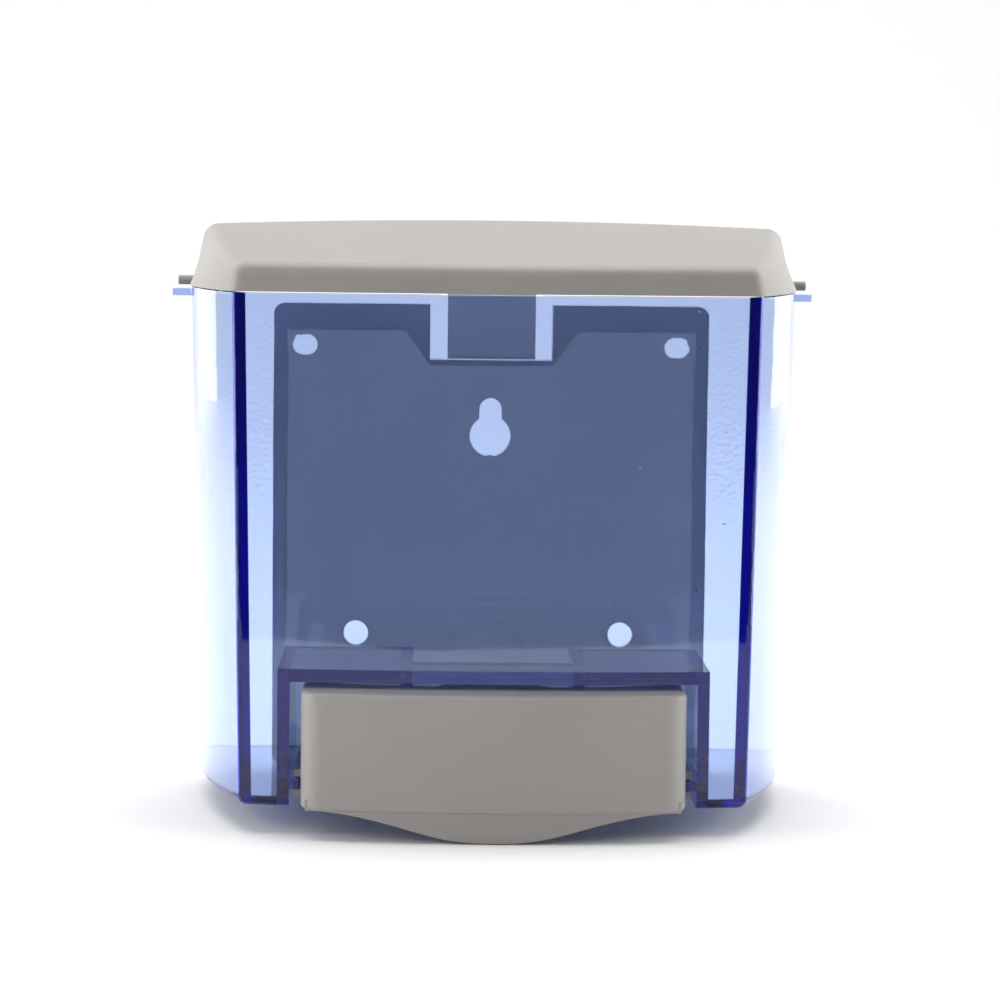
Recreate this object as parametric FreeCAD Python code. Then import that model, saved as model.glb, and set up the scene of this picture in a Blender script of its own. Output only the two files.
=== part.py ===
import FreeCAD, Part
import math
import os

# Wall mounted soap dispenser: a clear tank on a back plate, with a hinged lid, a push bar and a
# horizontal plunger pump. Millimetres. X to the right, -Y to the front, +Z up. The wall is the plane
# Y = 0. Heights are counted from the tank's foot while the parts are made; save() then moves the
# origin to the middle of the back plate's rear face.

V = FreeCAD.Vector

# Tank
TANK_HEIGHT = 110.0
TANK_WALL = 2.6
TANK_FOOT = -1.1
TANK_FLOOR = 2.1
TANK_FRONT_Y = -87.0
TANK_FRONT_BOW = 3.3
FRONT_HALF_TOP = 56.8
FRONT_HALF_FOOT = 54.9
MIDDLE_Y = -50.0
MIDDLE_HALF_TOP = 67.2
MIDDLE_HALF_FOOT = 65.2
REAR_HALF_TOP = 69.3
REAR_HALF_FOOT = 67.4
REAR_RIM_DROP = 2.2
FOOT_EDGE_R = 2.4
FRONT_EDGE_R = 1.6
EAR_REAR_GAP = 3.0
TANK_REAR_GAP = 0.2

# Pocket for the bar, and the sump behind it
POCKET_HALF = 44.2
POCKET_ROOF_Z = 26.2
POCKET_REAR_Y = -48.0
POCKET_WALL = 2.6
SUMP_HALF = 20.2
SUMP_FRONT_Y = -74.5
RAIL_Z = 3.5
RAIL_HEIGHT = 2.2
RAIL_REACH = 1.9
RAIL_FRONT_GAP = 2.0

# Back plate
PLATE_HALF = 51.5
PLATE_BOTTOM = -5.7
PLATE_TOP = 105.7
PLATE_DEPTH = 9.0
PLATE_FIELD = 2.5
PLATE_SIDE_RIM = 3.1
PLATE_TOP_RIM = 6.2
PLATE_BOTTOM_RIM = 3.0
PLATE_CORNER_R = 2.6
SHELF_HALF = 46.0
SHELF_REACH = 6.0
SHELF_THICKNESS = 3.2

# Screw holes in the plate
UPPER_SPACING = 88.9
UPPER_Z = 95.7
UPPER_SLOT_R = 2.4
UPPER_SLOT_LENGTH = 6.1
LOWER_SPACING = 63.5
LOWER_Z = 27.0
LOWER_HOLE_R = 3.0
KEY_HEAD_Z = 74.3
KEY_HEAD_R = 4.9
KEY_SEAT_Z = 80.7
KEY_SLOT_R = 2.7
MARK_HEIGHTS = (67.9, 53.4, 40.5)
MARK_R = 1.9
MARK_RAISE = 0.3

# Release tongue
TONGUE_HALF = 10.4
TONGUE_SLOT = 4.2
TONGUE_ROOT_Z = 92.6
TONGUE_WEB = 1.2
TONGUE_THICKNESS = 2.5
TONGUE_RAMP = 5.9
NOSE_HEIGHT = 1.9
NOSE_REACH = 1.4

# Lid
LID_WALL = 2.2
LID_SEAM = 0.3
LID_OVERHANG = 0.4
LID_FASCIA = 6.2
LID_SLOPE = 6.2
LID_CROWN = 1.7
LID_LEAN_FRONT = 0.17
LID_LEAN_MIDDLE = 0.5
LID_LEAN_REAR = 0.15
LID_EDGE_R = 3.6
LID_CORNER_R = 3.2
LID_REAR_SET = 2.2
NOTCH_SIDE = 1.6
NOTCH_HEIGHT = 12.6

# Lid hinge
HINGE_Y = -15.5
HINGE_RISE = 1.0
PIN_R = 1.1
PIN_TIP = 73.4
LUG_R = 2.4
LUG_INNER = 64.0
LUG_OUTER = 66.2
EAR_TIP = 74.5
EAR_THICKNESS = 1.7
EAR_DEPTH = 10.0

# Push bar
BAR_HALF = 41.5
BAR_BOTTOM = -0.5
BAR_HEIGHT = 25.4
BAR_FRONT_Y = -96.3
BAR_BOW = 4.0
BAR_WALL = 2.2
BAR_FLANGE_REAR_Y = -77.5
BAR_FLANGE_BOW = 7.5
BAR_CORNER_R = 5.5
BAR_EDGE_R = 0.9
ARM_REAR_Y = -57.0
ARM_TOP = 21.0
SHOE_REACH = 1.8
SHOE_HEIGHT = 1.6
LIP_INSET = 0.8
LIP_THICKNESS = 2.0
LIP_HALF = 40.5
LIP_DEPTH = 6.4

# Pump
PUMP_Z = 13.3
BARREL_R = 8.0
BORE_R = 6.5
BARREL_LENGTH = 25.2
BARREL_END = 2.5
FLANGE_HALF = 13.0
FLANGE_TOP = 25.5
FLANGE_CROWN = 1.9
FLANGE_BOTTOM = 3.0
FLANGE_THICKNESS = 1.6
GASKET_THICKNESS = 0.6
GASKET_R = 11.2
NUT_R = 10.8
NUT_THICKNESS = 4.5
INLET_HOLE_R = 0.9
INLET_CIRCLE_R = 3.2
INLET_HOLES = 6
VALVE_R = 4.8
VALVE_THICKNESS = 0.8
VALVE_STEM_R = 0.85
STRAINER_WALL = 1.2
STRAINER_LENGTH = 9.0
STRAINER_RINGS = ((2.8, 6), (5.6, 12))
GUIDE_THICKNESS = 4.0
GUIDE_RECESS = 0.3
STEM_SEAL_SECTION = 1.2
STEM_R = 3.2
STEM_BORE_R = 1.8
PISTON_LENGTH = 5.0
PISTON_CLEARANCE = 0.3
SEAL_LENGTH = 2.4
SEAL_INNER_R = 5.0
STROKE = 6.5
SPRING_R = 5.6
SPRING_WIRE_R = 0.4
SPRING_COILS = 5
SPRING_STEPS = 12

# Spout
SPOUT_HEAD_R = 4.5
SPOUT_HEAD_GAP = 0.6
SPOUT_TUBE_R = 3.4
SPOUT_BORE_R = 2.0
SPOUT_TIP_Z = -3.5
OUTLET_VALVE_R = 2.6
OUTLET_VALVE_LENGTH = 3.0
SPOUT_SEAL_WIDTH = 1.1
SPOUT_SEAL_R = 4.0
PUSH_PAD_HALF = 5.0

# Clearances
RUNNING = 0.05
BODY_GAP = 0.3
FIT_GAP = 0.2
THREAD_GAP = 0.05

ORIGIN_HEIGHT = (PLATE_BOTTOM + PLATE_TOP) / 2
HINGE_Z = TANK_HEIGHT + HINGE_RISE
REAR_RIM_Z = TANK_HEIGHT - REAR_RIM_DROP


def box(x0, x1, y0, y1, z0, z1):
    """A block between two corners."""
    return Part.makeBox(x1 - x0, y1 - y0, z1 - z0, V(x0, y0, z0))


def both_sides(shape):
    """The shape and its mirror image across the middle plane, as one."""
    return shape.fuse(shape.mirror(V(0, 0, 0), V(1, 0, 0)))


def along_y(radius, y0, y1, x=0.0, z=PUMP_Z):
    """A cylinder along Y."""
    return Part.makeCylinder(radius, y1 - y0, V(x, y0, z), V(0, 1, 0))


def along_x(radius, x0, x1, y, z):
    """A cylinder along X."""
    return Part.makeCylinder(radius, x1 - x0, V(x0, y, z), V(1, 0, 0))


def along_z(radius, z0, z1, x, y):
    """A cylinder along Z."""
    return Part.makeCylinder(radius, z1 - z0, V(x, y, z0), V(0, 0, 1))


def ring_y(outer, inner, y0, y1):
    """A ring about the pump's axis."""
    return along_y(outer, y0, y1).cut(along_y(inner, y0 - 1, y1 + 1))


def prism(points, direction):
    """A closed polygon swept along a direction."""
    return Part.Face(Part.makePolygon(points + points[:1])).extrude(direction)


def arc(a, b, c):
    """An arc edge through three points."""
    return Part.Arc(a, b, c).toShape()


def line(a, b):
    """A straight edge."""
    return Part.makeLine(a, b)


def bowed_plan(z, front_half, middle_half, rear_half, front_y, rear_y):
    """A closed outline in plan: bowed front, two bowed sides and a straight rear."""
    nose = V(0, front_y - TANK_FRONT_BOW, z)
    front_left = V(-front_half, front_y, z)
    front_right = V(front_half, front_y, z)
    rear_left = V(-rear_half, rear_y, z)
    rear_right = V(rear_half, rear_y, z)
    edges = [
        arc(front_left, nose, front_right),
        arc(front_right, V(middle_half, MIDDLE_Y, z), rear_right),
        line(rear_right, rear_left),
        arc(rear_left, V(-middle_half, MIDDLE_Y, z), front_left),
    ]
    return Part.Wire(edges)


def tank_halves(z):
    """Half-widths of the tank's outline at a height: front, middle and rear."""
    share = (z - TANK_FOOT) / (TANK_HEIGHT - TANK_FOOT)
    front = FRONT_HALF_FOOT + (FRONT_HALF_TOP - FRONT_HALF_FOOT) * share
    middle = MIDDLE_HALF_FOOT + (MIDDLE_HALF_TOP - MIDDLE_HALF_FOOT) * share
    rear = REAR_HALF_FOOT + (REAR_HALF_TOP - REAR_HALF_FOOT) * share
    return front, middle, rear


def tank_block(z0, z1, inset):
    """The tank's tapered outer form between two heights, drawn in by an inset."""
    wires = []
    for z in (z0, z1):
        front, middle, rear = tank_halves(z)
        wires.append(
            bowed_plan(
                z,
                front - inset,
                middle - inset,
                rear - inset,
                TANK_FRONT_Y + inset,
                -PLATE_DEPTH - TANK_REAR_GAP - inset,
            )
        )
    return Part.makeLoft(wires, True, True)


def edges_where(shape, test):
    """The edges of a shape whose middle point passes a test."""
    chosen = []
    for edge in shape.Edges:
        middle = edge.valueAt((edge.FirstParameter + edge.LastParameter) / 2)
        if test(middle, edge):
            chosen.append(edge)
    return chosen


def upright(edge):
    """Whether an edge runs mostly along Z."""
    ends = [vertex.Point for vertex in edge.Vertexes]
    if len(ends) < 2:
        return False
    run = ends[1].sub(ends[0])
    return abs(run.z) > 0.8 * run.Length


def hinge_lug(side):
    """The tank's ear plate inside the lid that carries one hinge pin."""
    foot_z = REAR_RIM_Z - 8.0
    wall_face = REAR_HALF_TOP - TANK_WALL
    web = box(LUG_INNER, LUG_OUTER, HINGE_Y - LUG_R, HINGE_Y + LUG_R, foot_z, HINGE_Z)
    root = box(LUG_INNER, wall_face + 1.0, HINGE_Y - LUG_R, HINGE_Y + LUG_R, foot_z, REAR_RIM_Z - 0.6)
    eye = along_x(LUG_R, LUG_INNER, LUG_OUTER, HINGE_Y, HINGE_Z)
    bore = along_x(PIN_R + RUNNING, LUG_INNER - 1, LUG_OUTER + 1, HINGE_Y, HINGE_Z)
    lug = web.fuse([root, eye]).cut(bore)
    if side < 0:
        return lug.mirror(V(0, 0, 0), V(1, 0, 0))
    return lug


def rear_ear():
    """The small flat ear at the tank's rear corner, under the pin's tip."""
    top = HINGE_Z - PIN_R - 0.8
    front_y = -PLATE_DEPTH - EAR_DEPTH
    rear_y = -PLATE_DEPTH - EAR_REAR_GAP
    outside = REAR_HALF_TOP + LID_OVERHANG + 0.6
    low = box(REAR_HALF_TOP - 1.0, EAR_TIP, front_y, rear_y, top - EAR_THICKNESS, REAR_RIM_Z - 0.1)
    high = box(outside, EAR_TIP, front_y, rear_y, top - EAR_THICKNESS, top)
    return low.fuse(high)


def make_tank():
    """Clear reservoir: tapered shell, pocket, sump, guide rails, hinge lugs and ears."""
    outer = tank_block(TANK_FOOT, TANK_HEIGHT, 0)
    foot_edges = edges_where(outer, lambda p, e: p.z < TANK_FOOT + 0.01 and p.y < -PLATE_DEPTH - 1)
    outer = outer.makeFillet(FOOT_EDGE_R, foot_edges)
    front_edges = edges_where(outer, lambda p, e: upright(e) and p.y < TANK_FRONT_Y + 1)
    outer = outer.makeFillet(FRONT_EDGE_R, front_edges)
    front_y = TANK_FRONT_Y - TANK_FRONT_BOW - 10
    below = TANK_FOOT - 1
    sump = box(-SUMP_HALF, SUMP_HALF, SUMP_FRONT_Y, POCKET_REAR_Y + 2, below - 1, POCKET_ROOF_Z + 1)
    pocket = box(-POCKET_HALF, POCKET_HALF, front_y, POCKET_REAR_Y, below, POCKET_ROOF_Z).cut(sump)
    inside = tank_block(TANK_FOOT + TANK_FLOOR, TANK_HEIGHT + 2, TANK_WALL)
    pocket_out = POCKET_HALF + POCKET_WALL
    pocket_top = POCKET_ROOF_Z + POCKET_WALL
    pocket_back = POCKET_REAR_Y + POCKET_WALL
    pocket_skin = box(-pocket_out, pocket_out, front_y, pocket_back, below, pocket_top)
    sump_in = SUMP_HALF - POCKET_WALL
    sump_room = box(
        -sump_in,
        sump_in,
        SUMP_FRONT_Y + POCKET_WALL,
        pocket_back + 2,
        below - 1,
        pocket_top + 1,
    )
    inside = inside.cut(pocket_skin.cut(sump_room))
    tank = outer.cut(pocket).cut(inside)
    rail = box(
        POCKET_HALF - RAIL_REACH,
        POCKET_HALF + 1,
        TANK_FRONT_Y + RAIL_FRONT_GAP,
        POCKET_REAR_Y + 1,
        RAIL_Z - RAIL_HEIGHT / 2,
        RAIL_Z + RAIL_HEIGHT / 2,
    )
    wide = REAR_HALF_TOP + 5
    rim_front = HINGE_Y - 4.0
    rim_cut = box(-wide, wide, rim_front, 0, REAR_RIM_Z, TANK_HEIGHT + 1)
    tank = tank.cut(rim_cut)
    tank = tank.fuse([both_sides(rail), hinge_lug(1), hinge_lug(-1), both_sides(rear_ear())])
    hole = along_y(BARREL_R + FIT_GAP, SUMP_FRONT_Y - 1, SUMP_FRONT_Y + POCKET_WALL + 1)
    return tank.cut(hole).removeSplitter()


def slot_hole(x, z, radius, length):
    """A level slot through the plate's field, rounded at both ends."""
    half = length / 2 - radius
    middle = box(x - half, x + half, -PLATE_DEPTH, 1, z - radius, z + radius)
    ends = [along_y(radius, -PLATE_DEPTH, 1, x + step, z) for step in (-half, half)]
    return middle.fuse(ends)


def keyhole():
    """Round head with a narrower slot above it, which ends in the screw's seat."""
    head = along_y(KEY_HEAD_R, -PLATE_DEPTH, 1, 0, KEY_HEAD_Z)
    neck = box(-KEY_SLOT_R, KEY_SLOT_R, -PLATE_DEPTH, 1, KEY_HEAD_Z, KEY_SEAT_Z)
    seat = along_y(KEY_SLOT_R, -PLATE_DEPTH, 1, 0, KEY_SEAT_Z)
    return head.fuse([neck, seat])


def make_back_plate():
    """Moulded tray with a raised rim, screw holes, a tongue opening and a shelf for the tank."""
    plate = box(-PLATE_HALF, PLATE_HALF, -PLATE_DEPTH, 0, PLATE_BOTTOM, PLATE_TOP)
    corners = [edge for edge in plate.Edges if abs(edge.Vertexes[0].Y - edge.Vertexes[1].Y) > 1]
    plate = plate.makeFillet(PLATE_CORNER_R, corners)
    field_half = PLATE_HALF - PLATE_SIDE_RIM
    field_top = PLATE_TOP - PLATE_TOP_RIM
    field_bottom = PLATE_BOTTOM + PLATE_BOTTOM_RIM
    opening_half = TONGUE_HALF + TONGUE_SLOT
    dip_z = TONGUE_ROOT_Z - TONGUE_WEB
    y = -PLATE_DEPTH - 1
    right = [
        V(opening_half, y, dip_z),
        V(opening_half + TONGUE_RAMP, y, field_top),
        V(field_half, y, field_top),
        V(field_half, y, field_bottom),
    ]
    left = [V(-p.x, y, p.z) for p in reversed(right)]
    plate = plate.cut(prism(right + left, V(0, 1 + PLATE_DEPTH - PLATE_FIELD, 0)))
    plate = plate.cut(box(-opening_half, opening_half, -PLATE_DEPTH - 1, 1, TONGUE_ROOT_Z, PLATE_TOP + 1))
    holes = [keyhole()]
    for side in (-1, 1):
        holes.append(slot_hole(side * UPPER_SPACING / 2, UPPER_Z, UPPER_SLOT_R, UPPER_SLOT_LENGTH))
        holes.append(along_y(LOWER_HOLE_R, -PLATE_DEPTH, 1, side * LOWER_SPACING / 2, LOWER_Z))
    plate = plate.cut(holes)
    marks = [along_y(MARK_R, -PLATE_FIELD - MARK_RAISE, -PLATE_FIELD / 2, 0, z) for z in MARK_HEIGHTS]
    shelf_bottom = TANK_FOOT - SHELF_THICKNESS
    shelf_front = -PLATE_DEPTH - SHELF_REACH
    shelf = box(-SHELF_HALF, SHELF_HALF, shelf_front, -PLATE_DEPTH + 1, shelf_bottom, TANK_FOOT)
    return plate.fuse(marks + [shelf]).removeSplitter()


def make_release_tongue():
    """Sprung tongue between the plate's two slots, with a nose over the tank's rear rim."""
    front_y = -PLATE_DEPTH + BODY_GAP
    rear_y = front_y + TONGUE_THICKNESS
    root_z = TONGUE_ROOT_Z + BODY_GAP + TONGUE_THICKNESS / 2
    nose_z = REAR_RIM_Z + BODY_GAP
    blade = box(-TONGUE_HALF, TONGUE_HALF, front_y, rear_y, root_z, nose_z + NOSE_HEIGHT)
    knuckle = along_x(TONGUE_THICKNESS / 2, -TONGUE_HALF, TONGUE_HALF, (front_y + rear_y) / 2, root_z)
    nose_y = -PLATE_DEPTH - NOSE_REACH
    nose = prism(
        [
            V(-TONGUE_HALF, rear_y, nose_z),
            V(-TONGUE_HALF, nose_y, nose_z),
            V(-TONGUE_HALF, nose_y, nose_z + NOSE_HEIGHT / 2),
            V(-TONGUE_HALF, rear_y, nose_z + NOSE_HEIGHT),
        ],
        V(2 * TONGUE_HALF, 0, 0),
    )
    return blade.fuse([knuckle, nose]).removeSplitter()


def lid_block(inset, top_drop):
    """The lid's hipped form: leaning sides under a sloping crowned top, drawn in by an inset."""
    front, middle, rear = tank_halves(TANK_HEIGHT)
    base_z = TANK_HEIGHT + LID_SEAM
    rise = LID_FASCIA + (HINGE_Y - TANK_FRONT_Y) * math.tan(math.radians(LID_SLOPE)) + 6
    rear_y = HINGE_Y + LID_REAR_SET
    start = base_z - inset
    wires = []
    for z in (start, base_z + rise):
        up = z - base_z
        wires.append(
            bowed_plan(
                z,
                front + LID_OVERHANG - inset - LID_LEAN_FRONT * up,
                middle + LID_OVERHANG - inset - LID_LEAN_MIDDLE * up,
                rear + LID_OVERHANG - inset - LID_LEAN_REAR * up,
                TANK_FRONT_Y - LID_OVERHANG + inset,
                rear_y - inset,
            )
        )
    block = Part.makeLoft(wires, True, True)
    return block.cut(lid_top_cutter(base_z + LID_FASCIA - top_drop))


def lid_top_cutter(front_z):
    """What lies above the lid's top: level at the front, and arched across at the rear."""
    wires = []
    slope = math.tan(math.radians(LID_SLOPE))
    for y, crown in ((TANK_FRONT_Y - 12, 0.02), (HINGE_Y + 12, LID_CROWN)):
        half = REAR_HALF_TOP + 8
        edge_z = front_z + (y - TANK_FRONT_Y) * slope
        low_left = V(-half, y, edge_z - crown * 0.3)
        low_right = V(half, y, edge_z - crown * 0.3)
        top = front_z + 60
        wires.append(
            Part.Wire(
                [
                    arc(low_left, V(0, y, edge_z + crown), low_right),
                    line(low_right, V(half, y, top)),
                    line(V(half, y, top), V(-half, y, top)),
                    line(V(-half, y, top), low_left),
                ]
            )
        )
    return Part.makeLoft(wires, True, True)


def make_lid():
    """Hollow cover: dark front band, sloping top, leaning sides, notched rear wall and pin bores."""
    outer = lid_block(0, 0)
    base_z = TANK_HEIGHT + LID_SEAM
    hips = edges_where(
        outer,
        lambda p, e: p.y > TANK_FRONT_Y and p.z > base_z + 1,
    )
    hips = [edge for edge in hips if not upright(edge) or edge.CenterOfMass.y > HINGE_Y]
    outer = outer.makeFillet(LID_EDGE_R, hips)
    corners = edges_where(outer, lambda p, e: upright(e) and p.y < TANK_FRONT_Y + 2)
    outer = outer.makeFillet(LID_CORNER_R, corners)
    lid = outer.cut(lid_block(LID_WALL, LID_WALL))
    nose_half = TONGUE_HALF + NOTCH_SIDE
    rear_y = HINGE_Y + LID_REAR_SET
    nose_room = box(-nose_half, nose_half, HINGE_Y - 1, rear_y + 1, base_z - 1, HINGE_Z + NOTCH_HEIGHT)
    lug_room = box(LUG_INNER - 0.8, LUG_OUTER + 0.5, HINGE_Y - 0.5, rear_y + 1, base_z - 1, HINGE_Z + 3.2)
    lid = lid.cut([nose_room, lug_room, lug_room.mirror(V(0, 0, 0), V(1, 0, 0))])
    bore = along_x(PIN_R, LUG_OUTER, PIN_TIP, HINGE_Y, HINGE_Z)
    return lid.cut(both_sides(bore)).removeSplitter()


def make_hinge_pin(side):
    """Plain pin with a rounded tip, held in the lid's side wall and turning in the tank's lug."""
    inner = LUG_INNER - 0.4
    pin = along_x(PIN_R, inner, PIN_TIP, HINGE_Y, HINGE_Z)
    ends = [edge for edge in pin.Edges if edge.Length < 2.5 * math.pi * PIN_R and len(edge.Vertexes) == 1]
    pin = pin.makeFillet(0.3, ends)
    if side < 0:
        return pin.mirror(V(0, 0, 0), V(1, 0, 0))
    return pin


def bar_plan(z, half, front_y, bow, rear_y, rear_bow):
    """The push bar's plan: bowed front, straight ends and a bowed rear edge."""
    front_left = V(-half, front_y, z)
    front_right = V(half, front_y, z)
    rear_left = V(-half, rear_y, z)
    rear_right = V(half, rear_y, z)
    if rear_bow > 0:
        rear = arc(rear_right, V(0, rear_y - rear_bow, z), rear_left)
    else:
        rear = line(rear_right, rear_left)
    edges = [
        arc(front_left, V(0, front_y - bow, z), front_right),
        line(front_right, rear_right),
        rear,
        line(rear_left, front_left),
    ]
    return Part.Face(Part.Wire(edges))


def bar_lip():
    """The curved lip under the bar that hides the spout: a bell outline on the bar's bow."""
    front_y = BAR_FRONT_Y + LIP_INSET
    top = BAR_BOTTOM + BAR_WALL
    deep = -LIP_DEPTH - 5
    outer = bar_plan(deep, LIP_HALF, front_y, BAR_BOW, -70, 0).extrude(V(0, 0, top - deep))
    inner_half = LIP_HALF + 1
    inner_y = front_y + LIP_THICKNESS
    inner = bar_plan(deep - 1, inner_half, inner_y, BAR_BOW, -60, 0).extrude(V(0, 0, top - deep + 2))
    half_outline = ((1.0, 0.03), (0.78, 0.12), (0.5, 0.5), (0.24, 0.9), (0.0, 1.0))
    left = [V(-LIP_HALF * x, -110, BAR_BOTTOM - LIP_DEPTH * d) for x, d in half_outline]
    right = [V(-p.x, p.y, p.z) for p in reversed(left[:-1])]
    bell = Part.BSplineCurve()
    bell.interpolate(left + right)
    high_left = V(-LIP_HALF, -110, top)
    high_right = V(LIP_HALF, -110, top)
    wire = Part.Wire(
        [
            bell.toShape(),
            line(right[-1], high_right),
            line(high_right, high_left),
            line(high_left, left[0]),
        ]
    )
    return outer.cut(inner).common(Part.Face(wire).extrude(V(0, 60, 0)))


def make_push_bar():
    """Hollow bowed bar with a top flange, two guide arms, shoes on the rails, a pad and a lip."""
    plan = bar_plan(BAR_BOTTOM, BAR_HALF, BAR_FRONT_Y, BAR_BOW, BAR_FLANGE_REAR_Y, BAR_FLANGE_BOW)
    bar = plan.extrude(V(0, 0, BAR_HEIGHT))
    corners = edges_where(bar, lambda p, e: upright(e) and p.y < BAR_FRONT_Y + 1)
    bar = bar.makeFillet(BAR_CORNER_R, corners)
    rims = edges_where(bar, lambda p, e: not upright(e) and p.y < BAR_FRONT_Y + 3)
    bar = bar.makeFillet(BAR_EDGE_R, rims)
    inner_half = BAR_HALF - BAR_WALL
    bar_top = BAR_BOTTOM + BAR_HEIGHT
    room = bar_plan(BAR_BOTTOM - 1, inner_half, BAR_FRONT_Y + BAR_WALL, BAR_BOW, ARM_REAR_Y, 0)
    bar = bar.cut(room.extrude(V(0, 0, BAR_HEIGHT - BAR_WALL + 1)))
    arm_front = BAR_FRONT_Y + BAR_CORNER_R + 1
    arm = box(inner_half, BAR_HALF, arm_front, ARM_REAR_Y, BAR_BOTTOM + 1, ARM_TOP)
    rail_low = RAIL_Z - RAIL_HEIGHT / 2 - BODY_GAP
    rail_high = RAIL_Z + RAIL_HEIGHT / 2 + BODY_GAP
    shoe_front = TANK_FRONT_Y + RAIL_FRONT_GAP + 1
    shoe_out = BAR_HALF + SHOE_REACH
    low_shoe = box(BAR_HALF - 1, shoe_out, shoe_front, ARM_REAR_Y, rail_low - SHOE_HEIGHT, rail_low)
    high_shoe = box(BAR_HALF - 1, shoe_out, shoe_front, ARM_REAR_Y, rail_high, rail_high + SHOE_HEIGHT)
    web = box(inner_half, BAR_HALF, shoe_front, ARM_REAR_Y, rail_low - SHOE_HEIGHT, ARM_TOP)
    rail_room = box(
        POCKET_HALF - RAIL_REACH - BODY_GAP,
        POCKET_HALF,
        shoe_front - 1,
        ARM_REAR_Y + 1,
        rail_low,
        rail_high,
    )
    side = arm.fuse([low_shoe, high_shoe, web]).cut(rail_room)
    pad_front = BAR_FRONT_Y - BAR_BOW + BAR_WALL / 2
    pad = box(
        -PUSH_PAD_HALF,
        PUSH_PAD_HALF,
        pad_front,
        spout_front() - BODY_GAP,
        PUMP_Z - PUSH_PAD_HALF,
        PUMP_Z + PUSH_PAD_HALF,
    )
    rib = box(-0.9, 0.9, pad_front, spout_front() - BODY_GAP, PUMP_Z, bar_top - 1)
    return bar.fuse([both_sides(side), pad, rib, bar_lip()]).removeSplitter()


def flange_front():
    """Y of the pump flange's front face."""
    return SUMP_FRONT_Y - GASKET_THICKNESS - FLANGE_THICKNESS


def barrel_rear():
    """Y of the barrel's rear end."""
    return flange_front() + BARREL_LENGTH


def piston_front():
    """Y of the piston's front face at rest, against the guide."""
    return flange_front() + GUIDE_RECESS + GUIDE_THICKNESS + PISTON_CLEARANCE


def spout_rear():
    """Y of the spout head's rear face at rest."""
    return flange_front() - STROKE - SPOUT_HEAD_GAP


def spout_front():
    """Y of the spout head's front face at rest."""
    return spout_rear() - 2 * SPOUT_HEAD_R + 0.6


def make_pump_housing():
    """Barrel closed by a perforated end wall, with a crowned flange at its mouth."""
    y = flange_front()
    side_z = FLANGE_TOP - FLANGE_CROWN
    low_left = V(-FLANGE_HALF, y, FLANGE_BOTTOM)
    low_right = V(FLANGE_HALF, y, FLANGE_BOTTOM)
    high_left = V(-FLANGE_HALF, y, side_z)
    high_right = V(FLANGE_HALF, y, side_z)
    outline = Part.Wire(
        [
            line(low_left, low_right),
            line(low_right, high_right),
            arc(high_right, V(0, y, FLANGE_TOP), high_left),
            line(high_left, low_left),
        ]
    )
    flange = Part.Face(outline).extrude(V(0, FLANGE_THICKNESS, 0))
    barrel = along_y(BARREL_R, y, barrel_rear())
    bore = along_y(BORE_R, y - 1, barrel_rear() - BARREL_END)
    holes = [along_y(VALVE_STEM_R + THREAD_GAP, y, barrel_rear() + 1)]
    for n in range(INLET_HOLES):
        turn = 2 * math.pi * n / INLET_HOLES
        x = INLET_CIRCLE_R * math.cos(turn)
        z = PUMP_Z + INLET_CIRCLE_R * math.sin(turn)
        holes.append(along_y(INLET_HOLE_R, y, barrel_rear() + 1, x, z))
    return flange.fuse(barrel).cut([bore] + holes).removeSplitter()


def make_pump_gasket():
    """Flat ring squeezed between the flange and the sump's front wall."""
    return ring_y(GASKET_R, BARREL_R + THREAD_GAP, SUMP_FRONT_Y - GASKET_THICKNESS, SUMP_FRONT_Y)


def make_pump_nut():
    """Hexagonal nut on the barrel, tightened against the sump's wall from inside the tank."""
    y = SUMP_FRONT_Y + POCKET_WALL
    corners = []
    for n in range(6):
        turn = math.pi * n / 3
        corners.append(V(NUT_R * math.cos(turn), y, PUMP_Z + NUT_R * math.sin(turn)))
    nut = prism(corners, V(0, NUT_THICKNESS, 0))
    return nut.cut(along_y(BARREL_R + THREAD_GAP, y - 1, y + NUT_THICKNESS + 1))


def make_inlet_valve():
    """Umbrella valve: a thin disc inside the barrel's end wall, on a stem with a bulb behind it."""
    face_y = barrel_rear() - BARREL_END
    disc = along_y(VALVE_R, face_y - VALVE_THICKNESS, face_y)
    stem = along_y(VALVE_STEM_R, face_y - VALVE_THICKNESS, barrel_rear() + 0.8)
    bulb = Part.makeCone(1.5, 0.6, 1.8, V(0, barrel_rear(), PUMP_Z), V(0, 1, 0))
    return disc.fuse([stem, bulb]).removeSplitter()


def make_inlet_strainer():
    """Perforated cap on the barrel's rear end, which keeps lumps out of the inlet valve."""
    inner_r = BARREL_R + THREAD_GAP
    outer_r = inner_r + STRAINER_WALL
    start_y = barrel_rear() - STRAINER_LENGTH + 4.0
    end_y = start_y + STRAINER_LENGTH
    cap = along_y(outer_r, start_y, end_y).cut(along_y(inner_r, start_y - 1, end_y - STRAINER_WALL))
    holes = []
    for radius, count in STRAINER_RINGS:
        for n in range(count):
            turn = 2 * math.pi * n / count
            x = radius * math.cos(turn)
            z = PUMP_Z + radius * math.sin(turn)
            holes.append(along_y(INLET_HOLE_R, end_y - 3, end_y + 1, x, z))
    return cap.cut(holes)


def make_plunger_guide():
    """Bush pressed into the barrel's mouth, with a groove for the stem's seal."""
    y = flange_front() + GUIDE_RECESS
    guide = ring_y(BORE_R, STEM_R + RUNNING, y, y + GUIDE_THICKNESS)
    groove_y = y + (GUIDE_THICKNESS - STEM_SEAL_SECTION) / 2
    groove_r = STEM_R + RUNNING + STEM_SEAL_SECTION
    return guide.cut(along_y(groove_r, groove_y, groove_y + STEM_SEAL_SECTION))


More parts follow.
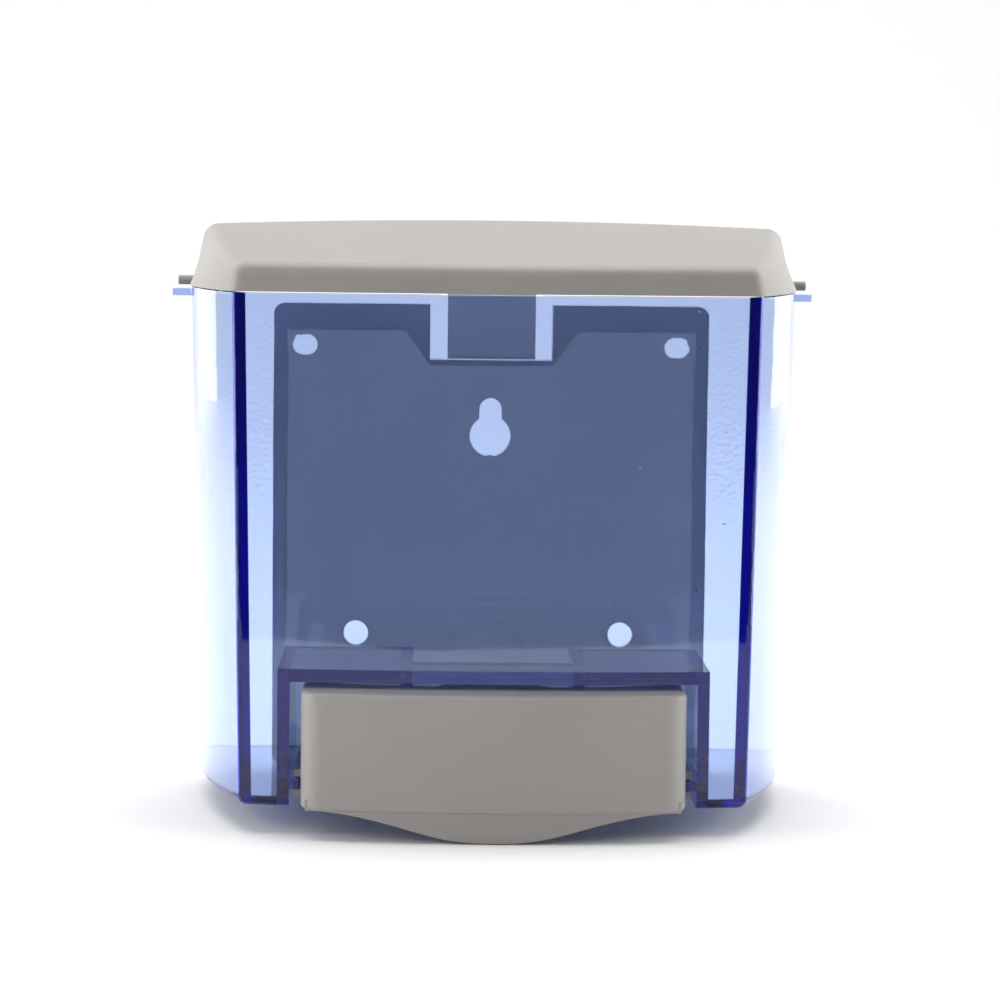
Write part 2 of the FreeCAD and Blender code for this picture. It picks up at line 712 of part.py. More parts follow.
def make_stem_seal():
    """Rubber ring in the guide's groove."""
    y = flange_front() + GUIDE_RECESS + (GUIDE_THICKNESS - STEM_SEAL_SECTION) / 2
    return ring_y(STEM_R + RUNNING + STEM_SEAL_SECTION, STEM_R + RUNNING, y, y + STEM_SEAL_SECTION)


def make_plunger():
    """Hollow stem with a grooved piston at its rear end."""
    front_y = piston_front()
    rear_y = front_y + PISTON_LENGTH
    piston = along_y(BORE_R - BODY_GAP, front_y, rear_y)
    stem = along_y(STEM_R, spout_rear() - SPOUT_HEAD_R, front_y + 1)
    groove_y = front_y + (PISTON_LENGTH - SEAL_LENGTH) / 2
    groove = ring_y(BORE_R, SEAL_INNER_R, groove_y, groove_y + SEAL_LENGTH)
    duct = along_y(STEM_BORE_R, spout_rear() - SPOUT_HEAD_R - 1, rear_y + 1)
    return piston.fuse(stem).cut([groove, duct]).removeSplitter()


def make_piston_seal():
    """Cup seal in the piston's groove, with a hollow at the pressure side."""
    y = piston_front() + (PISTON_LENGTH - SEAL_LENGTH) / 2
    seal = ring_y(BORE_R - RUNNING, SEAL_INNER_R, y, y + SEAL_LENGTH)
    lip = (BORE_R - SEAL_INNER_R) / 3
    hollow = ring_y(BORE_R - lip, SEAL_INNER_R + lip, y + SEAL_LENGTH / 2, y + SEAL_LENGTH + 1)
    return seal.cut(hollow)


def make_return_spring():
    """Open coil spring between the piston and the barrel's end wall."""
    start_y = piston_front() + PISTON_LENGTH + SPRING_WIRE_R
    end_y = barrel_rear() - BARREL_END - SPRING_WIRE_R
    points = []
    for n in range(SPRING_COILS * SPRING_STEPS + 1):
        turn = 2 * math.pi * n / SPRING_STEPS
        y = start_y + (end_y - start_y) * n / (SPRING_COILS * SPRING_STEPS)
        points.append(V(SPRING_R * math.cos(turn), y, PUMP_Z + SPRING_R * math.sin(turn)))
    helix = Part.BSplineCurve()
    helix.interpolate(points)
    heading = helix.tangent(helix.FirstParameter)[0]
    wire_end = Part.Face(Part.Wire(Part.makeCircle(SPRING_WIRE_R, points[0], heading)))
    return Part.Wire(helix.toShape()).makePipe(wire_end)


def make_spout():
    """Nozzle: a head on the stem's front end and a tube that points down behind the lip."""
    head = along_y(SPOUT_HEAD_R, spout_front(), spout_rear())
    rims = [edge for edge in head.Edges if len(edge.Vertexes) == 1]
    head = head.makeFillet(0.6, rims)
    y = tube_y()
    tube = along_z(SPOUT_TUBE_R, SPOUT_TIP_Z, PUMP_Z, 0, y)
    socket = along_y(STEM_R, spout_rear() - SPOUT_HEAD_R, spout_rear() + 1)
    seal_y = spout_rear() - SPOUT_SEAL_WIDTH - 0.8
    groove = along_y(SPOUT_SEAL_R, seal_y, seal_y + SPOUT_SEAL_WIDTH)
    duct = along_z(SPOUT_BORE_R, SPOUT_TIP_Z - 1, PUMP_Z, 0, y)
    mouth = along_z(OUTLET_VALVE_R, SPOUT_TIP_Z - 1, SPOUT_TIP_Z + OUTLET_VALVE_LENGTH, 0, y)
    return head.fuse(tube).cut([socket, groove, duct, mouth]).removeSplitter()


def tube_y():
    """Y of the spout tube's axis."""
    return (spout_front() + spout_rear()) / 2


def make_spout_seal():
    """Rubber ring between the stem and the spout's socket."""
    y = spout_rear() - SPOUT_SEAL_WIDTH - 0.8
    return ring_y(SPOUT_SEAL_R, STEM_R, y, y + SPOUT_SEAL_WIDTH)


def make_outlet_valve():
    """Duckbill valve in the spout's mouth: a short sleeve that closes to a slit."""
    top = SPOUT_TIP_Z + OUTLET_VALVE_LENGTH
    sleeve = along_z(OUTLET_VALVE_R, SPOUT_TIP_Z, top, 0, tube_y())
    hollow = Part.makeCone(0.4, OUTLET_VALVE_R - 0.7, OUTLET_VALVE_LENGTH, V(0, tube_y(), SPOUT_TIP_Z))
    slit = box(-1.6, 1.6, tube_y() - 0.15, tube_y() + 0.15, SPOUT_TIP_Z - 1, SPOUT_TIP_Z + 1.5)
    return sleeve.cut([hollow, slit])


def save(name, shape):
    """Moves a shape to the plate's origin and writes it."""
    if isinstance(shape, Part.Compound) and len(shape.Solids) == 1:
        shape = shape.Solids[0]
    shape = shape.copy()
    shape.translate(V(0, 0, -ORIGIN_HEIGHT))
    shape.exportStep("parts/" + name + ".step")
    bounds = shape.BoundBox
    print(
        f"{name:20s} solids {len(shape.Solids)} valid {shape.isValid()} volume {shape.Volume:10.1f}"
        f"  x {bounds.XMin:7.2f} {bounds.XMax:7.2f}  y {bounds.YMin:7.2f} {bounds.YMax:7.2f}"
        f"  z {bounds.ZMin:7.2f} {bounds.ZMax:7.2f}"
    )


os.makedirs("parts", exist_ok=True)
save("back_plate", make_back_plate())
save("release_tongue", make_release_tongue())
save("tank", make_tank())
save("lid", make_lid())
save("left_hinge_pin", make_hinge_pin(-1))
save("right_hinge_pin", make_hinge_pin(1))
save("push_bar", make_push_bar())
save("pump_housing", make_pump_housing())
save("pump_gasket", make_pump_gasket())
save("pump_nut", make_pump_nut())
save("inlet_valve", make_inlet_valve())
save("inlet_strainer", make_inlet_strainer())
save("plunger_guide", make_plunger_guide())
save("stem_seal", make_stem_seal())
save("plunger", make_plunger())
save("piston_seal", make_piston_seal())
save("return_spring", make_return_spring())
save("spout", make_spout())
save("spout_seal", make_spout_seal())
save("outlet_valve", make_outlet_valve())
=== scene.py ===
import math

import bmesh
import bpy
import numpy as np
from mathutils import Matrix, Vector


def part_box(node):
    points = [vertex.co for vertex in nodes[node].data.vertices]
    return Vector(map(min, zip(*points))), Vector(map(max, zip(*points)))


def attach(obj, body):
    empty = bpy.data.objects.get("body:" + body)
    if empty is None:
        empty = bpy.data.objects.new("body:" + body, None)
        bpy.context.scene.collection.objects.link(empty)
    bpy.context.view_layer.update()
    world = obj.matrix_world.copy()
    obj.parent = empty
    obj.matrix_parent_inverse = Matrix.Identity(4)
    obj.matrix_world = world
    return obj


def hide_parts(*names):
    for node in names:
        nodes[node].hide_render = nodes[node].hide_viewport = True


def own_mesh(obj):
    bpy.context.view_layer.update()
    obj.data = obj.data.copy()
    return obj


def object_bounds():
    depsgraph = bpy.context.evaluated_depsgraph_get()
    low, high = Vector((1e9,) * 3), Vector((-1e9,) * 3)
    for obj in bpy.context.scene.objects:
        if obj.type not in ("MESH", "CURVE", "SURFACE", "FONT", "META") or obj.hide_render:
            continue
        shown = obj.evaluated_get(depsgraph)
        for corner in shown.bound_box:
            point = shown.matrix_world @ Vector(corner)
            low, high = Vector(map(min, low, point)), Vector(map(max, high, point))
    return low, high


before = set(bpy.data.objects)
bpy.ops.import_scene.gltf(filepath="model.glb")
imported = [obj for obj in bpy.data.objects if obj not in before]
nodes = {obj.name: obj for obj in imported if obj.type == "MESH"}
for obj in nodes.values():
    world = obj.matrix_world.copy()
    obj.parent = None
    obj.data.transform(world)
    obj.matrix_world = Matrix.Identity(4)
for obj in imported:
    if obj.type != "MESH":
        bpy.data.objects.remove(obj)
cad_low, cad_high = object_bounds()

# The camera stands a little left of the middle and a little above the lid, and looks slightly down.
# Its place is counted from the middle of the back plate's rear face, in metres. Light that runs along
# inside the clear walls bounces many times, so its paths are given enough bounces to come out.
CAMERA_PLACE = (-0.01462, -0.87507, 0.08074)
CAMERA_DOWN = math.radians(4.702)
CAMERA_RIGHT = math.radians(1.127)
CAMERA_ROLL = math.radians(-0.625)
CAMERA_LENS = 132.05
CAMERA_SENSOR = 36.0
LIGHT_BOUNCES = 32

ahead = Vector(
    (
        math.sin(CAMERA_RIGHT) * math.cos(CAMERA_DOWN),
        math.cos(CAMERA_RIGHT) * math.cos(CAMERA_DOWN),
        -math.sin(CAMERA_DOWN),
    )
)
level_right = Vector((math.cos(CAMERA_RIGHT), -math.sin(CAMERA_RIGHT), 0))
level_up = level_right.cross(ahead)
right = level_right * math.cos(CAMERA_ROLL) - level_up * math.sin(CAMERA_ROLL)
up = level_right * math.sin(CAMERA_ROLL) + level_up * math.cos(CAMERA_ROLL)
turn = Matrix((right, up, -ahead)).transposed()
camera = bpy.data.objects.new("camera", bpy.data.cameras.new("camera"))
bpy.context.scene.collection.objects.link(camera)
camera.matrix_world = Matrix.Translation(CAMERA_PLACE) @ turn.to_4x4()
camera.data.lens = CAMERA_LENS
camera.data.sensor_width = CAMERA_SENSOR
camera.data.clip_start = 0.01
camera.data.clip_end = 20.0
camera.data.dof.use_dof = False
bpy.context.scene.camera = camera
bpy.context.scene.view_settings.view_transform = "Standard"
bpy.context.scene.cycles.glossy_bounces = LIGHT_BOUNCES
bpy.context.scene.cycles.transmission_bounces = LIGHT_BOUNCES
bpy.context.scene.cycles.max_bounces = LIGHT_BOUNCES


# The studio: a sheet of white paper that runs under the dispenser and curves up behind it, a large
# softbox above, one at each side, and a wash on the paper behind. The room in front stays dim.
PAPER_HALF_WIDTH = 2.6
PAPER_FRONT = -0.42
PAPER_BEND = 1.15
PAPER_BEND_RADIUS = 0.55
PAPER_TOP = 2.6
PAPER_WHITE = (0.90, 0.90, 0.895, 1)
ROOM_IN_FRONT = (0.09, 0.09, 0.093, 1)
ROOM_BEHIND = (0.85, 0.85, 0.855, 1)
ROOM_TURNS_FROM = -0.55
ROOM_TURNS_TO = 0.1
PAPER_UNDER_FOOT = 0.0002


def grid_mesh(name, points, closed_round=False):
    """A mesh on a grid of points, rows by columns: each cell is one four-sided face. With
    closed_round, the last column joins the first."""
    rows, columns = points.shape[:2]
    mesh = bpy.data.meshes.new(name)
    row, column = np.meshgrid(np.arange(rows - 1), np.arange(columns - (not closed_round)), indexing="ij")
    after = (column + 1) % columns
    this_row, next_row = row * columns, (row + 1) * columns
    corners = (this_row + column, this_row + after, next_row + after, next_row + column)
    faces = np.stack([corner.ravel() for corner in corners], axis=1)
    mesh.from_pydata(points.reshape(-1, 3).tolist(), [], faces.tolist())
    mesh.polygons.foreach_set("use_smooth", [True] * len(mesh.polygons))
    return mesh


def new_material(name, base, rough):
    """A material with one Principled shader; returns the material, its nodes, its links and the shader."""
    made = bpy.data.materials.new(name)
    made.use_nodes = True
    tree = made.node_tree
    shader = tree.nodes["Principled BSDF"]
    shader.inputs["Base Color"].default_value = base
    shader.inputs["Roughness"].default_value = rough
    return made, tree.nodes, tree.links, shader


floor_z = cad_low.z - PAPER_UNDER_FOOT
turn_angles = np.linspace(0, np.pi / 2, 25)
bend_y = PAPER_BEND + PAPER_BEND_RADIUS * np.sin(turn_angles)
bend_z = floor_z + PAPER_BEND_RADIUS * (1 - np.cos(turn_angles))
paper_y = np.concatenate([[PAPER_FRONT], bend_y, [bend_y[-1]]])
paper_z = np.concatenate([[floor_z], bend_z, [PAPER_TOP]])
paper_x = np.array([PAPER_HALF_WIDTH, -PAPER_HALF_WIDTH])
paper_points = np.zeros((len(paper_y), 2, 3))
paper_points[:, :, 0] = paper_x
paper_points[:, :, 1] = paper_y[:, None]
paper_points[:, :, 2] = paper_z[:, None]
paper_points = paper_points[:, ::-1]
paper = bpy.data.objects.new("paper_floor", grid_mesh("paper_floor", paper_points))
bpy.context.scene.collection.objects.link(paper)
paper_finish, _, _, paper_shader = new_material("white_paper", PAPER_WHITE, 0.75)
paper_shader.inputs["Specular IOR Level"].default_value = 0.2
paper.data.materials.append(paper_finish)

world = bpy.data.worlds.new("studio_room")
bpy.context.scene.world = world
world.use_nodes = True
room_nodes, room_links = world.node_tree.nodes, world.node_tree.links
room_place = room_nodes.new("ShaderNodeTexCoord")
room_split = room_nodes.new("ShaderNodeSeparateXYZ")
room_share = room_nodes.new("ShaderNodeMapRange")
room_share.interpolation_type = "SMOOTHSTEP"
room_share.inputs["From Min"].default_value = ROOM_TURNS_FROM
room_share.inputs["From Max"].default_value = ROOM_TURNS_TO
room_mix = room_nodes.new("ShaderNodeMix")
room_mix.data_type = "RGBA"
room_mix.inputs["A"].default_value = ROOM_IN_FRONT
room_mix.inputs["B"].default_value = ROOM_BEHIND
room_links.new(room_place.outputs["Generated"], room_split.inputs[0])
room_links.new(room_split.outputs["Y"], room_share.inputs["Value"])
room_links.new(room_share.outputs["Result"], room_mix.inputs["Factor"])
room_links.new(room_mix.outputs["Result"], room_nodes["Background"].inputs["Color"])


def softbox(name, place, aim, width, height, power):
    """A rectangular studio light at a place, turned to shine at a point."""
    lamp = bpy.data.lights.new(name, "AREA")
    lamp.shape = "RECTANGLE"
    lamp.size = width
    lamp.size_y = height
    lamp.energy = power
    holder = bpy.data.objects.new(name, lamp)
    bpy.context.scene.collection.objects.link(holder)
    holder.location = place
    holder.rotation_euler = (Vector(aim) - Vector(place)).to_track_quat("-Z", "Y").to_euler()


softbox("top_softbox", (0, 0.12, 1.15), (0, -0.02, 0), 1.5, 1.1, 12)
softbox("front_fill", (-0.5, -1.5, 0.75), (0, -0.02, 0), 1.2, 0.9, 7)
softbox("left_softbox", (-0.95, 0.02, 0.22), (0, -0.02, 0.02), 0.8, 0.8, 6)
softbox("right_softbox", (0.95, 0.12, 0.22), (0, -0.02, 0.02), 0.8, 0.8, 6.5)
softbox("left_rim", (-0.62, 1.15, 0.35), (0, -0.02, 0.02), 0.35, 1.0, 1.5)
softbox("right_rim", (0.62, 1.15, 0.35), (0, -0.02, 0.02), 0.35, 1.0, 1.5)
softbox("backdrop_wash", (0, 0.75, 1.35), (0, 1.7, 0.1), 2.6, 0.7, 12)


# Back plate: an injection moulded tray of pale grey ABS, screwed to the wall. Its faces have the fine
# spark-eroded grain of the mould, and its thin walls let a little bluish light through.
PLATE_GREY = (0.82, 0.845, 0.88, 1)
PLATE_GRAIN = 2600.0
PLATE_TRANSLUCENCY = 0.46
PLATE_MILKINESS = 90.0
PLATE_MILK_COLOUR = (0.15, 0.18, 0.25, 1)
PLATE_DUST_COLOUR = (0.3, 0.3, 0.3, 1)
MOULD_RELIEF = 0.00006
SLOW_IN_GRAIN = 0.6
TONE_DRIFT = 0.03


def add_socket(group, name, direction, kind, value=None):
    """One named socket on a shader group."""
    socket = group.interface.new_socket(name=name, in_out=direction, socket_type=kind)
    if value is not None:
        socket.default_value = value


def moulded_grain():
    """Spark-eroded mould grain: a fine noise, with a slower unevenness under it, as a height and a tone."""
    group = bpy.data.node_groups.new("moulded_grain", "ShaderNodeTree")
    add_socket(group, "Vector", "INPUT", "NodeSocketVector")
    add_socket(group, "Grain", "INPUT", "NodeSocketFloat", 2000.0)
    add_socket(group, "Slow", "INPUT", "NodeSocketFloat", 40.0)
    add_socket(group, "Height", "OUTPUT", "NodeSocketFloat")
    add_socket(group, "Tone", "OUTPUT", "NodeSocketFloat")
    inside = group.nodes.new("NodeGroupInput")
    outside = group.nodes.new("NodeGroupOutput")
    fine = group.nodes.new("ShaderNodeTexNoise")
    fine.inputs["Detail"].default_value = 2.0
    slow = group.nodes.new("ShaderNodeTexNoise")
    slow.inputs["Detail"].default_value = 3.0
    mixed = group.nodes.new("ShaderNodeMath")
    mixed.operation = "MULTIPLY_ADD"
    mixed.inputs[1].default_value = SLOW_IN_GRAIN
    group.links.new(inside.outputs["Vector"], fine.inputs["Vector"])
    group.links.new(inside.outputs["Grain"], fine.inputs["Scale"])
    group.links.new(inside.outputs["Vector"], slow.inputs["Vector"])
    group.links.new(inside.outputs["Slow"], slow.inputs["Scale"])
    group.links.new(slow.outputs["Fac"], mixed.inputs[0])
    group.links.new(fine.outputs["Fac"], mixed.inputs[2])
    group.links.new(mixed.outputs[0], outside.inputs["Height"])
    group.links.new(slow.outputs["Fac"], outside.inputs["Tone"])
    return group


def dust_specks():
    """Scattered specks: the cores of a few cells of a cell pattern, picked by each cell's own colour."""
    group = bpy.data.node_groups.new("dust_specks", "ShaderNodeTree")
    add_socket(group, "Vector", "INPUT", "NodeSocketVector")
    add_socket(group, "Scale", "INPUT", "NodeSocketFloat", 180.0)
    add_socket(group, "Share", "INPUT", "NodeSocketFloat", 0.06)
    add_socket(group, "Radius", "INPUT", "NodeSocketFloat", 0.06)
    add_socket(group, "Mask", "OUTPUT", "NodeSocketFloat")
    inside = group.nodes.new("NodeGroupInput")
    outside = group.nodes.new("NodeGroupOutput")
    bent = group.nodes.new("ShaderNodeTexNoise")
    bent.inputs["Scale"].default_value = 700.0
    shifted = group.nodes.new("ShaderNodeVectorMath")
    shifted.operation = "MULTIPLY_ADD"
    shifted.inputs[1].default_value = (0.0012, 0.0012, 0.0012)
    cells = group.nodes.new("ShaderNodeTexVoronoi")
    near = group.nodes.new("ShaderNodeMath")
    near.operation = "LESS_THAN"
    picked = group.nodes.new("ShaderNodeMath")
    picked.operation = "LESS_THAN"
    split = group.nodes.new("ShaderNodeSeparateColor")
    both = group.nodes.new("ShaderNodeMath")
    both.operation = "MULTIPLY"
    group.links.new(inside.outputs["Vector"], bent.inputs["Vector"])
    group.links.new(bent.outputs["Color"], shifted.inputs[0])
    group.links.new(inside.outputs["Vector"], shifted.inputs[2])
    group.links.new(shifted.outputs[0], cells.inputs["Vector"])
    group.links.new(inside.outputs["Scale"], cells.inputs["Scale"])
    group.links.new(cells.outputs["Distance"], near.inputs[0])
    group.links.new(inside.outputs["Radius"], near.inputs[1])
    group.links.new(cells.outputs["Color"], split.inputs["Color"])
    group.links.new(split.outputs["Red"], picked.inputs[0])
    group.links.new(inside.outputs["Share"], picked.inputs[1])
    group.links.new(near.outputs[0], both.inputs[0])
    group.links.new(picked.outputs[0], both.inputs[1])
    group.links.new(both.outputs[0], outside.inputs["Mask"])
    return group


GRAIN = moulded_grain()
DUST = dust_specks()


def moulded_plastic(name, grey, rough, grain, bump, dust_share, dust_colour):
    """Grained moulded plastic: its tone drifts slowly by TONE_DRIFT, its gloss follows the grain, and a
    few dust specks lie on it. Grain is the noise's scale per metre, and bump is the relief's strength."""
    finish, made, links, shader = new_material(name, grey, rough)
    shader.inputs["IOR"].default_value = 1.5
    place = made.new("ShaderNodeTexCoord")
    grain_node = made.new("ShaderNodeGroup")
    grain_node.node_tree = GRAIN
    grain_node.inputs["Grain"].default_value = grain
    links.new(place.outputs["Object"], grain_node.inputs["Vector"])
    tone = made.new("ShaderNodeMapRange")
    tone.inputs["From Min"].default_value = 0.3
    tone.inputs["From Max"].default_value = 0.7
    links.new(grain_node.outputs["Tone"], tone.inputs["Value"])
    drift = made.new("ShaderNodeMix")
    drift.data_type = "RGBA"
    drift.inputs["A"].default_value = tuple(c * (1 - TONE_DRIFT) for c in grey[:3]) + (1,)
    drift.inputs["B"].default_value = tuple(c * (1 + TONE_DRIFT) for c in grey[:3]) + (1,)
    links.new(tone.outputs["Result"], drift.inputs["Factor"])
    dust = made.new("ShaderNodeGroup")
    dust.node_tree = DUST
    dust.inputs["Share"].default_value = dust_share
    links.new(place.outputs["Object"], dust.inputs["Vector"])
    dusty = made.new("ShaderNodeMix")
    dusty.data_type = "RGBA"
    dusty.inputs["B"].default_value = dust_colour
    links.new(dust.outputs["Mask"], dusty.inputs["Factor"])
    links.new(drift.outputs["Result"], dusty.inputs["A"])
    links.new(dusty.outputs["Result"], shader.inputs["Base Color"])
    gloss = made.new("ShaderNodeMapRange")
    gloss.inputs["From Min"].default_value = 0.3
    gloss.inputs["From Max"].default_value = 0.9
    gloss.inputs["To Min"].default_value = rough - 0.06
    gloss.inputs["To Max"].default_value = rough + 0.08
    links.new(grain_node.outputs["Height"], gloss.inputs["Value"])
    links.new(gloss.outputs["Result"], shader.inputs["Roughness"])
    relief = made.new("ShaderNodeBump")
    relief.inputs["Strength"].default_value = bump
    relief.inputs["Distance"].default_value = MOULD_RELIEF
    links.new(grain_node.outputs["Height"], relief.inputs["Height"])
    links.new(relief.outputs["Normal"], shader.inputs["Normal"])
    return finish


def give(node, finish):
    """Sets a CAD node's one material slot."""
    nodes[node].material_slots[0].material = finish


plate_finish = moulded_plastic("plate_grey_abs", PLATE_GREY, 0.5, PLATE_GRAIN, 0.5, 0.03, PLATE_DUST_COLOUR)
plate_shader = plate_finish.node_tree.nodes["Principled BSDF"]
plate_shader.inputs["Transmission Weight"].default_value = PLATE_TRANSLUCENCY
plate_milk = plate_finish.node_tree.nodes.new("ShaderNodeVolumeAbsorption")
plate_milk.inputs["Color"].default_value = PLATE_MILK_COLOUR
plate_milk.inputs["Density"].default_value = PLATE_MILKINESS
plate_finish.node_tree.links.new(
    plate_milk.outputs["Volume"], plate_finish.node_tree.nodes["Material Output"].inputs["Volume"]
)
give("back_plate", plate_finish)
give("release_tongue", plate_finish)


# Tank: clear blue tinted SAN, moulded in one piece. The tint is in the plastic, so a wall seen edge on
# is navy and a wall seen flat is pale. The outer face of the rear wall is pebbled towards both sides.
TANK_IOR = 1.52
TINT_DENSITY = 160.0
TINT_COLOUR = (0.05, 0.33, 0.87, 1)
GRAIN_STARTS_X = 0.036
GRAIN_FULL_X = 0.050
SHELF_REACH = 0.006
TANK_REAR_GAP = 0.0002
OUTER_SKIN_FROM = 0.0008
OUTER_SKIN_FULL = 0.0004
PEBBLE_SCALE = 900.0
WAVE_SCALE = 28.0
WAVE_SHARE = 0.35
TANK_RELIEF = 0.00012
TANK_POLISH = 0.02
SCUFF_ROUGHNESS = 0.75

# The plate's shelf reaches furthest forward, and the tank's rear wall stands just off the plate's face.
tank_rear_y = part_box("back_plate")[0].y + SHELF_REACH - TANK_REAR_GAP
tank_finish, tank_nodes, tank_links, tank_shader = new_material("blue_clear_san", (1, 1, 1, 1), 0.015)
tank_shader.inputs["Transmission Weight"].default_value = 1.0
tank_shader.inputs["IOR"].default_value = TANK_IOR
tint = tank_nodes.new("ShaderNodeVolumeAbsorption")
tint.inputs["Color"].default_value = TINT_COLOUR
tint.inputs["Density"].default_value = TINT_DENSITY
tank_links.new(tint.outputs["Volume"], tank_nodes["Material Output"].inputs["Volume"])
tank_place = tank_nodes.new("ShaderNodeTexCoord")
tank_split = tank_nodes.new("ShaderNodeSeparateXYZ")
tank_links.new(tank_place.outputs["Object"], tank_split.inputs[0])
away = tank_nodes.new("ShaderNodeMath")
away.operation = "ABSOLUTE"
tank_links.new(tank_split.outputs["X"], away.inputs[0])
outer_share = tank_nodes.new("ShaderNodeMapRange")
outer_share.interpolation_type = "SMOOTHSTEP"
outer_share.inputs["From Min"].default_value = GRAIN_STARTS_X
outer_share.inputs["From Max"].default_value = GRAIN_FULL_X
tank_links.new(away.outputs[0], outer_share.inputs["Value"])
rear_share = tank_nodes.new("ShaderNodeMapRange")
rear_share.inputs["From Min"].default_value = tank_rear_y - OUTER_SKIN_FROM
rear_share.inputs["From Max"].default_value = tank_rear_y - OUTER_SKIN_FULL
tank_links.new(tank_split.outputs["Y"], rear_share.inputs["Value"])
grained = tank_nodes.new("ShaderNodeMath")
grained.operation = "MULTIPLY"
tank_links.new(outer_share.outputs["Result"], grained.inputs[0])
tank_links.new(rear_share.outputs["Result"], grained.inputs[1])
pebble = tank_nodes.new("ShaderNodeTexNoise")
pebble.inputs["Scale"].default_value = PEBBLE_SCALE
pebble.inputs["Detail"].default_value = 3.0
tank_links.new(tank_place.outputs["Object"], pebble.inputs["Vector"])
pebble_height = tank_nodes.new("ShaderNodeMath")
pebble_height.operation = "MULTIPLY"
tank_links.new(pebble.outputs["Fac"], pebble_height.inputs[0])
tank_links.new(grained.outputs[0], pebble_height.inputs[1])
waves = tank_nodes.new("ShaderNodeTexNoise")
waves.inputs["Scale"].default_value = WAVE_SCALE
waves.inputs["Detail"].default_value = 1.0
tank_links.new(tank_place.outputs["Object"], waves.inputs["Vector"])
surface = tank_nodes.new("ShaderNodeMath")
surface.operation = "MULTIPLY_ADD"
surface.inputs[1].default_value = WAVE_SHARE
tank_links.new(waves.outputs["Fac"], surface.inputs[0])
tank_links.new(pebble_height.outputs[0], surface.inputs[2])
scuffs = tank_nodes.new("ShaderNodeGroup")
scuffs.node_tree = DUST
scuffs.inputs["Scale"].default_value = 160.0
scuffs.inputs["Share"].default_value = 0.10
scuffs.inputs["Radius"].default_value = 0.045
tank_links.new(tank_place.outputs["Object"], scuffs.inputs["Vector"])
scuff_rough = tank_nodes.new("ShaderNodeMapRange")
scuff_rough.inputs["To Min"].default_value = TANK_POLISH
scuff_rough.inputs["To Max"].default_value = SCUFF_ROUGHNESS
tank_links.new(scuffs.outputs["Mask"], scuff_rough.inputs["Value"])
tank_links.new(scuff_rough.outputs["Result"], tank_shader.inputs["Roughness"])
pebbled = tank_nodes.new("ShaderNodeBump")
pebbled.inputs["Strength"].default_value = 1.0
pebbled.inputs["Distance"].default_value = TANK_RELIEF
tank_links.new(surface.outputs[0], pebbled.inputs["Height"])
tank_links.new(pebbled.outputs["Normal"], tank_shader.inputs["Normal"])
give("tank", tank_finish)


# Lid: a moulded grey ABS cover, satin on top, with a steep front band. Its two short hinge pins are of
# the same plastic and are pressed in from the sides.
LID_GREY = (0.308, 0.291, 0.273, 1)
LID_DUST_COLOUR = (0.12, 0.11, 0.1, 1)
lid_finish = moulded_plastic("lid_grey_abs", LID_GREY, 0.42, 2200.0, 0.35, 0.05, LID_DUST_COLOUR)
for name in ("lid", "left_hinge_pin", "right_hinge_pin"):
    give(name, lid_finish)


# Push bar: one moulding of grey ABS, bowed to the front, with a curved lip under it. Its arms run on
# the rails at the sides of the tank's pocket.
BAR_GREY = (0.316, 0.297, 0.287, 1)
BAR_DUST_COLOUR = (0.1, 0.09, 0.08, 1)
bar_finish = moulded_plastic("bar_grey_abs", BAR_GREY, 0.4, 2400.0, 0.3, 0.04, BAR_DUST_COLOUR)
give("push_bar", bar_finish)


# Pump: a horizontal plunger pump in the sump's wall. The barrel, nut, strainer and guide are pale
# grey acetal, the plunger and spout natural off-white, the seals black rubber and the valves silicone.
ACETAL_GREY = (0.62, 0.62, 0.61, 1)
PLUNGER_WHITE = (0.74, 0.73, 0.69, 1)
RUBBER_BLACK = (0.02, 0.02, 0.02, 1)
SILICONE_MILKY = (0.62, 0.61, 0.57, 1)
RUBBER_DUST = (0.2, 0.2, 0.2, 1)
NO_DUST = (0, 0, 0, 1)
pump_finish = moulded_plastic("pump_grey_acetal", ACETAL_GREY, 0.35, 1800.0, 0.2, 0.0, NO_DUST)
plunger_finish = moulded_plastic("plunger_natural", PLUNGER_WHITE, 0.3, 1800.0, 0.15, 0.0, NO_DUST)
rubber_finish = moulded_plastic("black_rubber", RUBBER_BLACK, 0.6, 1500.0, 0.4, 0.05, RUBBER_DUST)
silicone_finish = moulded_plastic("milky_silicone", SILICONE_MILKY, 0.45, 1200.0, 0.2, 0.0, NO_DUST)
for name in ("pump_housing", "pump_nut", "inlet_strainer", "plunger_guide"):
    give(name, pump_finish)
for name in ("plunger", "spout"):
    give(name, plunger_finish)
for name in ("pump_gasket", "stem_seal", "piston_seal", "spout_seal"):
    give(name, rubber_finish)
for name in ("inlet_valve", "outlet_valve"):
    give(name, silicone_finish)


# Return spring: five coils of 0.8 mm stainless wire between the piston and the barrel's end wall. It
# stays against the end wall.
SPRING_GREY = (0.6, 0.6, 0.6, 1)
SPRING_COILS = 5
SPRING_WIRE_RADIUS = 0.0004
SPRING_STEPS = 48
WIRE_SIDES = 12


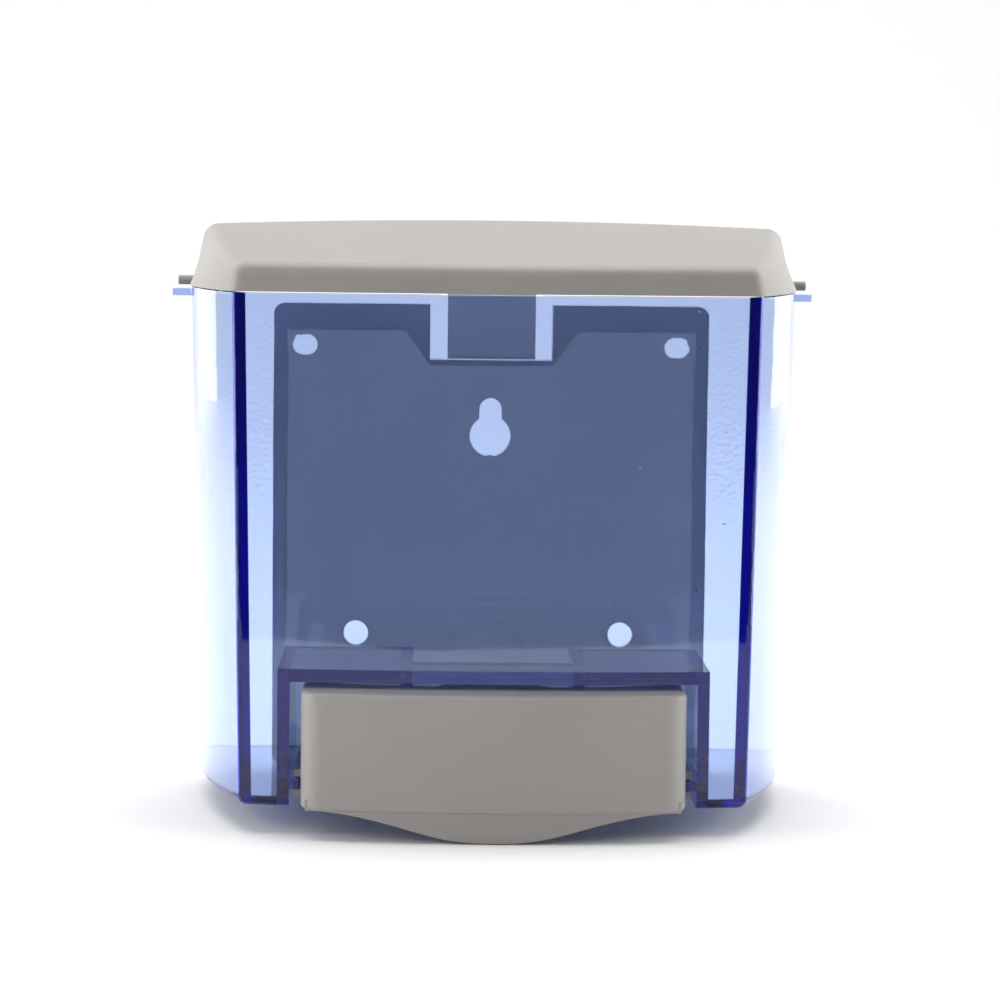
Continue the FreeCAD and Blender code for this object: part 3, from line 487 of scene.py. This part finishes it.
def wire_helix(low, high):
    """Rings round the helix c(t) = (R cos w, y0 + (y1 - y0) t, z + R sin w) with w = 2 pi coils t.
    Each ring is c + r (cos a n + sin a b): n points away from the axis and b = heading x n. R, y0, y1
    and z come from the spring's box, and r is the wire's radius."""
    radius = (high.x - low.x) / 2 - SPRING_WIRE_RADIUS
    middle_z = (low.z + high.z) / 2
    share = np.linspace(0, 1, SPRING_COILS * SPRING_STEPS + 1)
    turned = 2 * np.pi * SPRING_COILS * share
    start = low.y + SPRING_WIRE_RADIUS
    length = high.y - low.y - 2 * SPRING_WIRE_RADIUS
    away = np.stack([np.cos(turned), np.zeros_like(turned), np.sin(turned)], axis=1)
    centre = away * radius + np.stack([0 * share, start + length * share, 0 * share + middle_z], axis=1)
    rise = length / (2 * np.pi * SPRING_COILS * radius)
    heading = np.stack([-np.sin(turned), np.full_like(turned, rise), np.cos(turned)], axis=1)
    heading /= np.linalg.norm(heading, axis=1)[:, None]
    side = np.cross(heading, away)
    round_wire = np.linspace(0, 2 * np.pi, WIRE_SIDES, endpoint=False)[None, :, None]
    ring = np.cos(round_wire) * away[:, None] + np.sin(round_wire) * side[:, None]
    return centre[:, None] + SPRING_WIRE_RADIUS * ring


spring_low, spring_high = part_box("return_spring")
spring_mesh = grid_mesh("return_spring_wire", wire_helix(spring_low, spring_high), closed_round=True)
wire_ends = bmesh.new()
wire_ends.from_mesh(spring_mesh)
bmesh.ops.holes_fill(wire_ends, edges=wire_ends.edges)
bmesh.ops.recalc_face_normals(wire_ends, faces=wire_ends.faces)
wire_ends.to_mesh(spring_mesh)
wire_ends.free()
spring = bpy.data.objects.new("return_spring_wire", spring_mesh)
bpy.context.scene.collection.objects.link(spring)
spring_finish, _, _, spring_shader = new_material("spring_wire", SPRING_GREY, 0.3)
spring_shader.inputs["Metallic"].default_value = 1.0
spring.data.materials.append(spring_finish)
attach(spring, "wall_unit")
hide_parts("return_spring")
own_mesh(spring)


bpy.context.view_layer.update()
